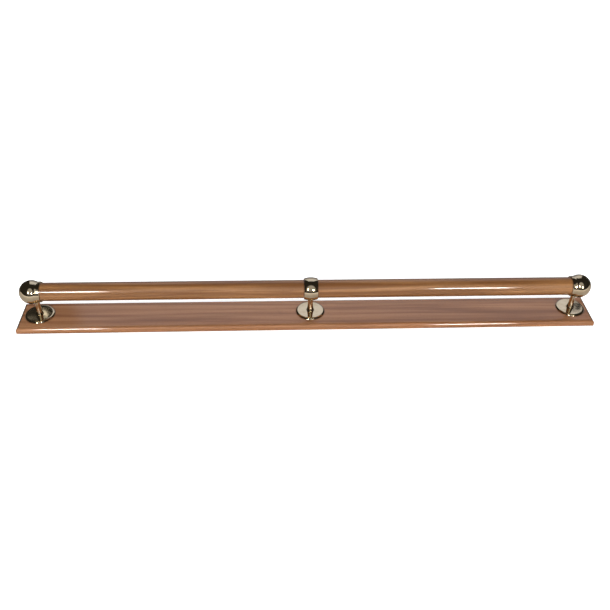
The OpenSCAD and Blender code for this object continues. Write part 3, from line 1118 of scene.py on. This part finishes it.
# Y at the front and back of the table that polished pieces mirror, and the softness of its edges
TABLE_SPAN = (-0.82, 0.16, 0.10)
# Y where the table is brightest and dimmest, and its brightness there
TABLE_FADE = (-0.60, -0.10, 2.0, 0.95)
PAST_TABLE = (0.05, 0.045, 0.04)
FIBRE_SHADE = (0.8, 0.8, 0.8)
FLOOR_GLOW = 0.6


def floor_material(tone, table):
    """Matt white paper that polished pieces mirror as a dimmer table.

    It glows a little where it is seen straight, and is clear from below, so that the board's back
    can be looked at.
    """
    material = bpy.data.materials.new("Floor paper")
    material.use_nodes = True
    tree = material.node_tree
    tree.nodes.clear()
    place = put(tree, "ShaderNodeTexCoord").outputs["Object"]
    fibre = spread(tree, noise(tree, place, scale=60.0, detail=3.0), 0.3, 0.7, 0.985, 1.0)
    depth = put(tree, "ShaderNodeSeparateXYZ", {0: place}).outputs[1]
    strength = spread(tree, depth, *TABLE_FADE)
    grey = put(tree, "ShaderNodeCombineXYZ", {0: strength, 1: strength, 2: strength}).outputs[0]
    lit = blend_colours(tree, 1.0, table, grey, blend="MULTIPLY")
    mirrored = blend_colours(tree, between(tree, depth, *TABLE_SPAN), PAST_TABLE, lit)
    white = blend_colours(tree, fibre, FIBRE_SHADE, tone)
    path = put(tree, "ShaderNodeLightPath").outputs
    paper = blend_colours(tree, path["Is Glossy Ray"], white, mirrored)
    matt = put(tree, "ShaderNodeBsdfDiffuse", {"Color": paper}).outputs[0]
    straight = times(tree, path["Is Camera Ray"], FLOOR_GLOW)
    glow = put(tree, "ShaderNodeEmission", {"Color": (*tone, 1.0), "Strength": straight}).outputs[0]
    above = put(tree, "ShaderNodeAddShader", {0: matt, 1: glow}).outputs[0]
    clear = put(tree, "ShaderNodeBsdfTransparent").outputs[0]
    under = put(tree, "ShaderNodeNewGeometry").outputs["Backfacing"]
    mixed = put(tree, "ShaderNodeMixShader", {0: under, 1: above, 2: clear}).outputs[0]
    put(tree, "ShaderNodeOutputMaterial", {"Surface": mixed})
    return material


def floor_mesh(half):
    """A square floor just below the board, open under it so that light reaches the board's back."""
    drop, inset = 0.2 * MM, 3 * MM
    bm = bmesh.new()
    bmesh.ops.create_grid(bm, x_segments=1, y_segments=1, size=1.0)
    bmesh.ops.scale(bm, verts=bm.verts[:], vec=(BOARD_HIGH.x - inset, BOARD_HIGH.y - inset, 1.0))
    bmesh.ops.delete(bm, geom=bm.faces[:], context="FACES_ONLY")
    made = bmesh.ops.extrude_edge_only(bm, edges=bm.edges[:])["geom"]
    for vert in (v for v in made if isinstance(v, bmesh.types.BMVert)):
        vert.co = (math.copysign(half, vert.co.x), math.copysign(half, vert.co.y), 0.0)
    bmesh.ops.translate(bm, verts=bm.verts[:], vec=(0.0, 0.0, -drop))
    bm.normal_update()
    bmesh.ops.reverse_faces(bm, faces=[f for f in bm.faces if f.normal.z < 0.0])
    return bm


class GRABRAIL_OT_studio(bpy.types.Operator):
    """Make the floor, the soft lights and the camera"""

    bl_idname = "grabrail.studio"
    bl_label = "Studio"

    def execute(self, context):
        scene = context.scene
        studio = scene.grab_rail_studio
        floor = mesh_object(floor_mesh(studio.floor_size / 2), "floor")
        floor.data.materials.append(floor_material(studio.floor, studio.table))
        soft_sun("front_light", studio.key, 60, 27, 0)
        soft_sun("top_light", studio.top, 90, 80, 0)
        soft_sun("back_light", studio.fill, 90, 50, 180)
        studio_world(scene, studio.window)
        scene.view_settings.view_transform = "Standard"
        self.add_camera(scene, studio)
        return {"FINISHED"}

    def add_camera(self, scene, studio):
        lens = bpy.data.cameras.new("camera")
        lens.sensor_width, lens.lens, lens.shift_x = 36.0, studio.lens, studio.shift
        lens.clip_start, lens.clip_end = 0.05, 100.0
        camera = bpy.data.objects.new("camera", lens)
        scene.collection.objects.link(camera)
        camera.matrix_world = (
            Matrix.Translation(studio.camera_place)
            @ Matrix.Rotation(-studio.camera_turn, 4, "Z")
            @ Matrix.Rotation(math.pi / 2 - studio.camera_down, 4, "X")
            @ Matrix.Rotation(studio.camera_roll, 4, "Z")
        )
        scene.camera = camera


class GRABRAIL_PT_panel(bpy.types.Panel):
    """Lists the operators in the order in which they run"""

    bl_idname = "GRABRAIL_PT_panel"
    bl_label = "Grab Rail"
    bl_space_type = "VIEW_3D"
    bl_region_type = "UI"
    bl_category = "Grab Rail"

    def draw(self, context):
        for operator in OPERATORS:
            self.layout.operator(operator.bl_idname)


OPERATORS = (
    GRABRAIL_OT_finishes,
    GRABRAIL_OT_board,
    GRABRAIL_OT_rail,
    GRABRAIL_OT_sockets,
    GRABRAIL_OT_stems,
    GRABRAIL_OT_roses,
    GRABRAIL_OT_fixings,
    GRABRAIL_OT_studio,
)


def register():
    for name, group in SETTINGS:
        bpy.utils.register_class(group)
        setattr(bpy.types.Scene, name, PointerProperty(type=group))
    for operator in OPERATORS:
        bpy.utils.register_class(operator)
    bpy.utils.register_class(GRABRAIL_PT_panel)


def unregister():
    bpy.utils.unregister_class(GRABRAIL_PT_panel)
    for operator in reversed(OPERATORS):
        bpy.utils.unregister_class(operator)
    for name, group in reversed(SETTINGS):
        delattr(bpy.types.Scene, name)
        bpy.utils.unregister_class(group)


def main():
    register()
    for operator in OPERATORS:
        family, name = operator.bl_idname.split(".")
        getattr(getattr(bpy.ops, family), name)()


if __name__ == "__main__":
    main()
